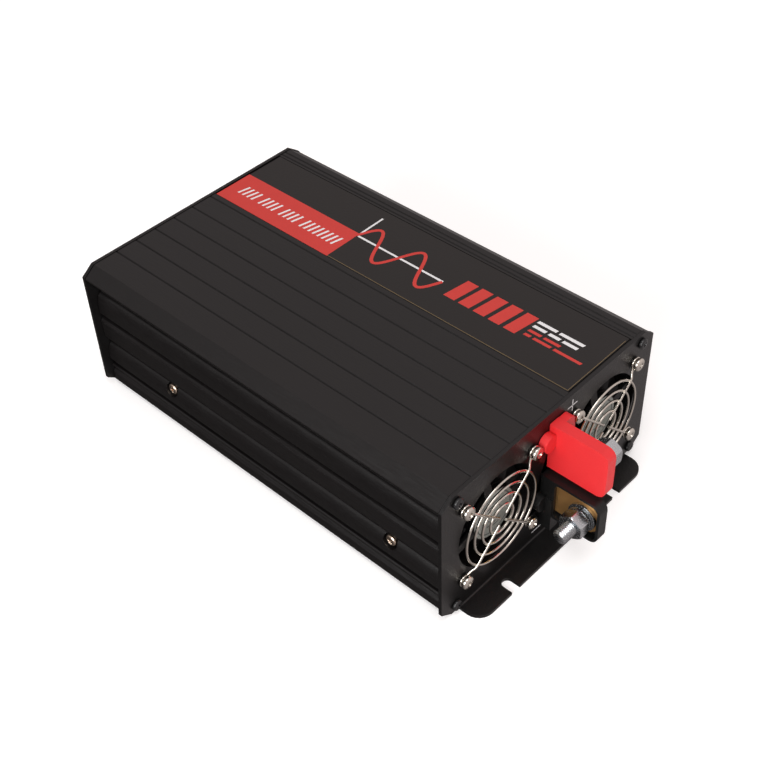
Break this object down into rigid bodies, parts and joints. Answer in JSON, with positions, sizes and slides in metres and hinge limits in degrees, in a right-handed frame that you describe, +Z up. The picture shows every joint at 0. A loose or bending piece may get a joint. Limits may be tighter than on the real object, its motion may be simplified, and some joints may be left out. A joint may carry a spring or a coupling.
{
  "type": "power inverter",
  "caption": "Box-shaped DC to AC power inverter: ribbed extruded case on slotted mounting flanges, guarded fans and red and black stud terminals at one end, sockets at the other.",
  "frame": {"origin": "under the middle of the whole object, on the plane its two mounting flanges stand on", "axes": "+X along the case towards the DC end with the fans, +Z up out of the ribbed cover, +Y across the case towards the side the positive terminal opens to"},
  "size_m": [0.31, 0.164, 0.086],
  "materials": {
    "black_anodised_aluminium": "satin black anodised extrusion",
    "black_powder_coat": "satin black powder coat",
    "black_oxide_steel": "black oxide",
    "nickel_plate": "bright nickel plate",
    "printed_film": "printed label film",
    "black_plastic": "moulded black",
    "red_plastic": "moulded red",
    "brass": "punched bar",
    "zinc_plate": "zinc plate",
    "rocker_red": "moulded red",
    "green_lens": "lamp lens",
    "red_lens": "lamp lens",
    "fr4_board": "solder mask",
    "plain_aluminium": "mill finish",
    "ferrite": "sintered",
    "capacitor_sleeve": "printed sleeve",
    "enamelled_copper": "enamelled winding"
  },
  "bodies": {
    "case": {"ac_end_plate": "black_powder_coat", "ac_plate_screw_1": "black_oxide_steel", "ac_plate_screw_2": "black_oxide_steel", "ac_plate_screw_3": "black_oxide_steel", "ac_plate_screw_4": "black_oxide_steel", "ac_socket_1": "black_plastic", "ac_socket_2": "black_plastic", "bus_capacitor_1": "capacitor_sleeve", "bus_capacitor_2": "capacitor_sleeve", "control_board": "fr4_board", "dc_end_plate": "black_powder_coat", "dc_plate_screw_1": "black_oxide_steel", "dc_plate_screw_2": "black_oxide_steel", "dc_plate_screw_3": "black_oxide_steel", "dc_plate_screw_4": "black_oxide_steel", "earth_terminal": "zinc_plate", "fault_lamp": "red_lens", "label": "printed_film", "left_clamp_bar": "plain_aluminium", "left_fan_frame": "black_plastic", "left_fan_guard": "nickel_plate", "left_guard_screw_1": "nickel_plate", "left_guard_screw_2": "nickel_plate", "left_guard_screw_3": "nickel_plate", "left_guard_screw_4": "nickel_plate", "lower_housing": "black_anodised_aluminium", "main_board": "fr4_board", "negative_busbar": "brass", "negative_flat_washer": "zinc_plate", "negative_housing": "black_plastic", "negative_nut": "zinc_plate", "negative_spring_washer": "zinc_plate", "negative_stud": "zinc_plate", "output_choke": "enamelled_copper", "positive_busbar": "brass", "positive_flat_washer": "zinc_plate", "positive_housing": "red_plastic", "positive_nut": "zinc_plate", "positive_spring_washer": "zinc_plate", "positive_stud": "zinc_plate", "power_lamp": "green_lens", "right_clamp_bar": "plain_aluminium", "right_fan_frame": "black_plastic", "right_fan_guard": "nickel_plate", "right_guard_screw_1": "nickel_plate", "right_guard_screw_2": "nickel_plate", "right_guard_screw_3": "nickel_plate", "right_guard_screw_4": "nickel_plate", "side_screw_1": "nickel_plate", "side_screw_2": "nickel_plate", "side_screw_3": "nickel_plate", "side_screw_4": "nickel_plate", "switch_body": "black_plastic", "top_cover": "black_anodised_aluminium", "transformer_1": "ferrite", "transformer_2": "ferrite", "usb_port": "zinc_plate"},
    "left_rotor": {"left_fan_rotor": "black_plastic"},
    "right_rotor": {"right_fan_rotor": "black_plastic"},
    "rocker": {"switch_rocker": "rocker_red"}
  },
  "joints": [
    {"name": "left_fan_spin", "type": "hinge", "parent": "case", "child": "left_rotor", "pos_m": [0.1077, -0.0415, 0.046], "axis": [1, 0, 0], "continuous": true},
    {"name": "right_fan_spin", "type": "hinge", "parent": "case", "child": "right_rotor", "pos_m": [0.1077, 0.0415, 0.046], "axis": [1, 0, 0], "continuous": true},
    {"name": "power_switch", "type": "hinge", "parent": "case", "child": "rocker", "pos_m": [-0.1393, 0.053, 0.062], "axis": [0, 1, 0], "range_deg": [0, 20]}
  ]
}
